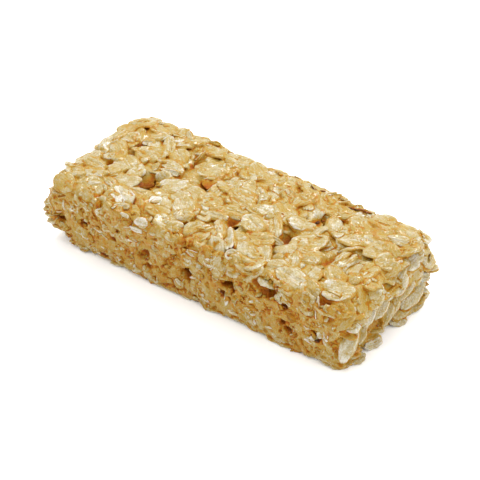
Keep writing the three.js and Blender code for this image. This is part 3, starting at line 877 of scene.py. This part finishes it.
# Smaller ones between them, strewn over both long sides.
for side, facing in ((-1, 270), (1, 90)):
    for x, z in strewn(small.dice, (-47, 1.2), (46, 17.4), 2.7, 1200):
        hit, _ = touch((x, 0, z), (0, side, 0))
        if hit is None or (side < 0 and open_hole(x, z, FRONT_HOLES, 1.6)):
            continue
        length = small_chance(1.8, 5.0)
        size = (length, length * small_chance(0.35, 0.85), small_chance(0.5, 0.8))
        middle = (x, hit.y - side * small_chance(0.1, 0.7), z)
        turning = leaned(small_chance(0, 180), small_chance(52, 84), facing + small_chance(-28, 28))
        bend = (small_chance(-0.4, 0.2), small_chance(-0.3, 0.2))
        lay_small(size, middle, turning, small_chance(-0.5, 1.3), bend, True)
tally("in the cut sides:")

# %% [markdown]
# ## The underside
# The bar was pressed on a flat sheet, so the flakes below lie flat and end in one plane.

# %% The underside
for x, y in strewn(glued.dice, (-46, -18.5), (46, 18.5), 4.2, 2500):
    turning = leaned(chance(0, 360), chance(0, 5), chance(0, 360))
    size = chance(0.8, 1.1)
    middle = (x, y, chance(0.2, 0.6))
    glued.lay(glued.dice.choice(plain_flakes), sized(OAT_ON_TOP, size, PRESSED_FLAKE), middle, turning,
              chance(0.1, 0.7))
tally("underneath:")

# %% [markdown]
# ## Fragments and crumbs
# Stirring and pressing break the flakes. Pieces of a millimetre or three lie mostly on the cut sides, and
# finer crumbs fill the rest. They are strewn over the skin itself, half sunk in the syrup, but not over the
# holes in front.

# %% Fragments and crumbs
skin_points = read(skin.vertices, "co")
skin_normals = read(skin.vertices, "normal")


def mostly_on_sides(point, normal):
    if point[1] < -16 and open_hole(point[0], point[2], FRONT_HOLES, 0.6):
        return 0.0
    if point[2] < 0.5:
        return 0.05
    return 0.04 + 0.9 * abs(normal[1]) * (abs(point[1]) > 18.3)


def nearly_all_on_sides(point, normal):
    return max(0.0, mostly_on_sides(point, normal) - 0.038)


def strew_on_skin(heap, kinds, count, weight, sizes, flatness, sink, dryness):
    """Lays shapes on points of the skin drawn by chance, more of them where weight is high."""
    any_of = heap.dice.uniform
    shares = [weight(point, normal) for point, normal in zip(skin_points, skin_normals)]
    for i in heap.dice.choices(range(len(shares)), weights=shares, k=count):
        length = any_of(*sizes)
        size = (length, length * any_of(0.6, 1.0), length * any_of(*flatness))
        upright = Vector((0, 0, 1)).rotation_difference(Vector(skin_normals[i])).to_matrix()
        turning = upright @ leaned(any_of(0, 360), any_of(0, 28), any_of(0, 360))
        jitter = np.array([any_of(-0.4, 0.4) for _ in range(3)])
        middle = skin_points[i] + jitter - skin_normals[i] * any_of(*sink)
        heap.lay(heap.dice.choice(kinds), size, middle, turning, any_of(*dryness))


fragments, loose_crumbs = Heap(31), Heap(71)
# The heap, the shapes, how many and where, and from and to: length, flatness, how deep they sink, how dry.
# The last row is dark specks of bran.
STREWN_ON_SKIN = [
    (glued, chips, 3200, nearly_all_on_sides, (1.0, 3.6), (0.16, 0.36), (0.0, 0.6), (-0.7, 0.4)),
    (glued, crumbs, 4200, mostly_on_sides, (0.5, 1.6), (0.3, 0.5), (0.0, 0.7), (-0.8, 0.5)),
    (fragments, chips, 2400, nearly_all_on_sides, (0.7, 3.0), (0.14, 0.3), (0.1, 0.55), (-0.9, 1.1)),
    (loose_crumbs, crumbs, 1700, nearly_all_on_sides, (0.25, 0.7), (0.3, 0.5), (-0.1, 0.4), (-0.3, 1.3)),
    (loose_crumbs, crumbs, 110, nearly_all_on_sides, (0.35, 0.8), (0.3, 0.5), (0.0, 0.3), (-4.5, -2.0)),
]
for row in STREWN_ON_SKIN:
    strew_on_skin(*row)

# Bits of husk, burnt dark, in the far rim and in front, and a sliver that hangs at the lower edge: the
# middle, length and width, the way the length points, the lean and its heading, and how dry.
HUSKS = [
    ((11.8, 17.6, 20.1), 3.4, 0.5, -32, 20, 250, -4.2), ((13.4, 17.0, 20.1), 2.8, 0.4, -40, 20, 250, -3.4),
    ((14.6, 18.0, 20.0), 2.4, 0.5, 20, 20, 250, -3.0), ((24.6, 16.2, 19.9), 3.6, 0.7, 14, 25, 260, -3.6),
    ((27.0, 17.2, 19.8), 3.8, 0.6, 20, 25, 260, -4.2), ((29.2, 17.8, 19.6), 2.8, 0.5, 6, 25, 260, -3.2),
    ((20.4, 7.4, 18.4), 1.7, 0.9, 70, 20, 240, -4.4), ((21.6, 8.6, 18.9), 1.2, 0.5, 10, 20, 240, -3.6),
    ((-14.3, -21.0, 8.0), 1.3, 0.7, 20, 76, 270, -3.6), ((-5.5, -21.0, 12.4), 1.1, 0.5, -30, 76, 270, -3.2),
    ((27.9, -20.8, 17.6), 1.4, 0.8, 30, 60, 270, -4.0), ((40.4, -20.9, 7.3), 1.5, 0.9, 15, 76, 270, -4.2),
    ((38.8, -20.9, 8.6), 1.0, 0.6, 70, 76, 270, -3.6), ((30.4, -20.9, 13.5), 1.0, 0.7, 0, 76, 270, -3.8),
    ((-34.1, -21.0, 11.0), 1.1, 0.6, 45, 76, 270, -3.2), ((10.5, -21.0, 8.6), 1.2, 0.5, -20, 76, 270, -3.4),
    ((32.4, -21.0, 0.7), 1.9, 0.5, -50, 30, 270, 0.40), ((33.0, -21.1, 0.4), 1.1, 0.5, 30, 30, 270, 0.20),
]
for row, (middle, length, width, turn, lean, heading, dryness) in enumerate(HUSKS):
    fragments.lay(chips[row % len(chips)], (length, width, 0.3), middle, leaned(turn, lean, heading), dryness)
print("fragments", len(fragments.copies), "loose crumbs", len(loose_crumbs.copies))

# %% [markdown]
# ## Running it together
# Hot syrup draws into the gaps between the flakes, so that where two touch, they melt into each other. A
# voxel remesh of the glued heap and the core at once does just that: it keeps their outer surface and leaves
# out what is hidden inside. Each face of it then looks up the flake it came from, to keep that flake's grain.

# %% The glazed mass
VOXEL, SMOOTHINGS = 0.24, 3
FACES_KEPT = 190_000
FEWEST_POINTS = 50_000  # in a shell that is kept
PRESSED_OPEN = 1.1

glued_points, glued_corners, glued_sizes, glued_owners = glued.joined()
core_corners = whole_numbers(core.loops, "vertex_index")
core_sizes = whole_numbers(core.polygons, "loop_total")
# The core counts as one more copy: not turned, far from any rim, and a little soaked.
CORE_COPY = np.array([[0, 0, 0, 1, 0, 0, 0, 1, 0, 0, 0, 1, 1e3, 1e3, 1e3, 0, 0, 0, -0.25]])

# Places where the rim crumbled away: the middle, the half size, and the way its surface is pushed back.
CRUMBLED = [
    ((-48.0, -21.0, 0.0), (7.0, 6.0, 3.6), (1.0, 1.2, 2.4)),
    ((50.5, -1.2, 0.0), (4.0, 3.0, 3.0), (-3.0, 0.0, 0.8)),
    ((50.8, -11.6, 0.0), (4.0, 2.6, 3.0), (-2.6, 0.0, 0.8)),
    ((50.4, 19.6, 17.0), (3.0, 4.0, 4.0), (-0.8, -0.5, -0.8)),
    ((-50.0, -1.0, 19.0), (4.0, 7.0, 3.0), (0.8, 0.0, -0.6)),
]


def pressed_open(points):
    """Pushes whatever covers an open hole down into it, and the rim in where it crumbled away."""
    top = hole_share(points[:, 0], points[:, 1], TOP_HOLES) * np.clip((points[:, 2] - 8) / 6, 0, 1)
    front = hole_share(points[:, 0], points[:, 2], FRONT_HOLES) * np.clip((-points[:, 1] - 10) / 6, 0, 1)
    pushed = points + PRESSED_OPEN * np.stack((np.zeros(len(points)), FRONT_DEEPER * front, -top), axis=1)
    for middle, half, push in CRUMBLED:
        near = np.exp(-(((points - middle) / half) ** 2).sum(axis=1))
        pushed += near[:, None] * np.array(push)
    return pushed


glued_mass = (
    pressed_open(np.concatenate((glued_points, core_points))),
    np.concatenate((glued_corners, core_corners + len(glued_points))),
    np.concatenate((glued_sizes, core_sizes)),
    np.concatenate((glued_owners, np.full(len(core_sizes), len(glued.copies)))),
    np.concatenate((np.array(glued.copies), CORE_COPY)),
)
print("glued", len(glued.copies), "copies,", len(glued_mass[2]), "faces; whole", len(whole.copies), "copies")


def outer_shells(mesh):
    """Only the shells with enough points: bubbles that are closed in inside the heap are left out."""
    ends = read(mesh.edges, "vertices", 2).astype(int)
    shell = np.arange(len(mesh.vertices))
    while True:
        lowest = shell.copy()
        np.minimum.at(lowest, ends[:, 0], shell[ends[:, 1]])
        np.minimum.at(lowest, ends[:, 1], shell[ends[:, 0]])
        lowest = lowest[lowest]
        if np.array_equal(lowest, shell):
            break
        shell = lowest
    few = np.bincount(shell, minlength=len(shell))[shell] < FEWEST_POINTS
    net = bmesh.new()
    net.from_mesh(mesh)
    net.verts.ensure_lookup_table()
    hidden = [net.verts[i] for i in np.flatnonzero(few)]
    bmesh.ops.delete(net, geom=hidden, context="VERTS")
    net.to_mesh(mesh)
    net.free()
    print("left out", len(hidden), "hidden points of", len(few))
    return mesh


def fused(name, heaped):
    """One surface round a whole heap, and for each corner the numbers of the copy that it came from."""
    points, corners, sizes, owners, copies = heaped
    net = shaped(
        name, one_mesh(name, points, corners, sizes),
        ("REMESH", {"mode": "VOXEL", "voxel_size": VOXEL}),
        ("SMOOTH", {"factor": 0.5, "iterations": SMOOTHINGS}),
    )
    net = outer_shells(net)
    ratio = min(1.0, FACES_KEPT / (2 * len(net.polygons)))
    net = shaped(name, net, ("DECIMATE", {"ratio": ratio}))
    places = read(net.vertices, "co")
    over = np.maximum(places - HIGHEST, 0) - np.maximum(LOWEST - places, 0)
    net.vertices.foreach_set("co", (places - over).ravel())
    net.update()
    tree = BVHTree.FromPolygons(
        points.tolist(), [row.tolist() for row in np.split(corners, np.cumsum(sizes)[:-1])],
    )
    nearest = np.array([owners[tree.find_nearest(face.center)[2]] for face in net.polygons])
    corner_owners = np.repeat(nearest, whole_numbers(net.polygons, "loop_total"))
    net_corners = whole_numbers(net.loops, "vertex_index")
    grain, dryness, rim = grain_of(read(net.vertices, "co")[net_corners], copies[corner_owners])
    first, last = np.full(len(net.vertices), len(copies)), np.full(len(net.vertices), -1)
    np.minimum.at(first, net_corners, corner_owners)
    np.maximum.at(last, net_corners, corner_owners)
    seam = (first != last).astype(float)
    ends = read(net.edges, "vertices", 2).astype(int)
    beside = np.bincount(ends[:, 0], seam[ends[:, 1]], len(seam))
    beside += np.bincount(ends[:, 1], seam[ends[:, 0]], len(seam))
    seam = 0.5 * seam + 0.5 * beside / np.bincount(ends.ravel(), minlength=len(seam))
    return net, {"grain": grain, "dryness": dryness, "rim": rim, "seam": seam}


def kept_apart(name, heap):
    """A heap whose copies are not run together, and its numbers."""
    points, corners, sizes, _ = heap.joined()
    owners = np.repeat(np.arange(len(heap.copies)), [len(placed) for placed in heap.points])
    grain, dryness, rim = grain_of(points, np.array(heap.copies)[owners])
    return one_mesh(name, points, corners, sizes), {"grain": grain, "dryness": dryness, "rim": rim}


BARE = {"whole_flakes": whole, "small_flakes": small, "fragments": fragments, "loose_crumbs": loose_crumbs}
pieces = {"glazed_oats": fused("glazed_oats", glued_mass)}
for name, heap in BARE.items():
    pieces[name] = kept_apart(name, heap)
print({name: len(net.vertices) for name, (net, _) in pieces.items()})

# %% [markdown]
# ## How sheltered each point is
# Syrup runs into the gaps and dries there dark and amber, and the gaps are painted darker still as shade. To
# find the gaps, rays leave each point in all directions of its open side. Each ray that meets something close
# by counts, the nearer the more. The open holes and the seams between flakes are painted darker too. In the
# long sides the
# gaps are painted darkest: partly syrup that the knife squeezed out, partly painted shade.

# %% Crevices
RAY_RINGS = [(22, 3), (48, 5), (72, 6)]  # degrees from the normal, rays
REACH = 3.0


def sheltered(points, normals, tree):
    """0 for a point in the open, towards 1 deep in a gap."""
    across = np.cross(normals, np.where(np.abs(normals[:, 2:]) < 0.8, (0.0, 0.0, 1.0), (1.0, 0.0, 0.0)))
    across /= np.linalg.norm(across, axis=1)[:, None]
    along = np.cross(normals, across)
    starts = (points + 0.04 * normals).tolist()
    shelter = np.zeros(len(points))
    for degrees, count in RAY_RINGS:
        steep, low = math.cos(math.radians(degrees)), math.sin(math.radians(degrees))
        for turn in range(count):
            around = math.tau * (turn + degrees / 90) / count
            ways = steep * normals + low * (math.cos(around) * across + math.sin(around) * along)
            hits = [tree.ray_cast(start, way, REACH)[3] for start, way in zip(starts, ways.tolist())]
            shelter += [0.0 if far is None else 1 - far / REACH for far in hits]
    return shelter / sum(count for _, count in RAY_RINGS)


everything = []
outside_points = []
for net, _ in pieces.values():
    everything += [[corner + len(outside_points) for corner in face.vertices] for face in net.polygons]
    outside_points += read(net.vertices, "co").tolist()
outside_tree = BVHTree.FromPolygons(outside_points, everything)

# Painted shade: how much darker the gaps are painted on top and along the cut, and the holes and seams in the
# glazed mass, beside the syrup that pools there. In front the holes are painted darker still.
SYRUP_AND_SHADE_IN_HOLES, SYRUP_AND_SHADE_IN_SEAMS, SYRUP_AND_SHADE_ON_TOP, SYRUP_AND_SHADE_BY_CUT = 0.45, 0.08, 0.83, 0.32
FRONT_SYRUPIER_AND_SHADIER = 2.0  # holes in front, against those on top
for name, (net, numbers) in pieces.items():
    places = read(net.vertices, "co")
    by_cut = np.clip((np.abs(places[:, 1]) - 18.5) / 1.5, 0, 1) * (places[:, 2] < 17.5)
    holes = hole_share(places[:, 0], places[:, 1], TOP_HOLES) * (places[:, 2] > 12)
    holes += FRONT_SYRUPIER_AND_SHADIER * hole_share(places[:, 0], places[:, 2], FRONT_HOLES) * (places[:, 1] < -14)
    # Painted shade: the more sheltered a point is, the darker its tone.
    numbers["crevice_syrup_and_shade"] = sheltered(places, read(net.vertices, "normal"), outside_tree)
    numbers["crevice_syrup_and_shade"] *= SYRUP_AND_SHADE_ON_TOP + SYRUP_AND_SHADE_BY_CUT * by_cut
    if name == "glazed_oats":
        numbers["crevice_syrup_and_shade"] += SYRUP_AND_SHADE_IN_HOLES * holes + SYRUP_AND_SHADE_IN_SEAMS * numbers.pop("seam")
    print(name, "crevice_syrup_and_shade", np.percentile(numbers["crevice_syrup_and_shade"], (10, 50, 75, 90, 99)).round(2).tolist())

# %% [markdown]
# ## The pieces
# The glazed mass takes the plain solid's place. The flakes, fragments and crumbs that lie bare on it keep
# their crisp edges and have less glaze.

# %% The pieces
FINISHES = {
    "glazed_oats": glazed_finish, "whole_flakes": flake_finish, "small_flakes": flake_finish,
    "fragments": flake_finish, "loose_crumbs": crumb_finish,
}
for name, (net, numbers) in pieces.items():
    piece = finished(name, net, numbers, FINISHES[name])
    if name == "glazed_oats":
        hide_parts("bar")
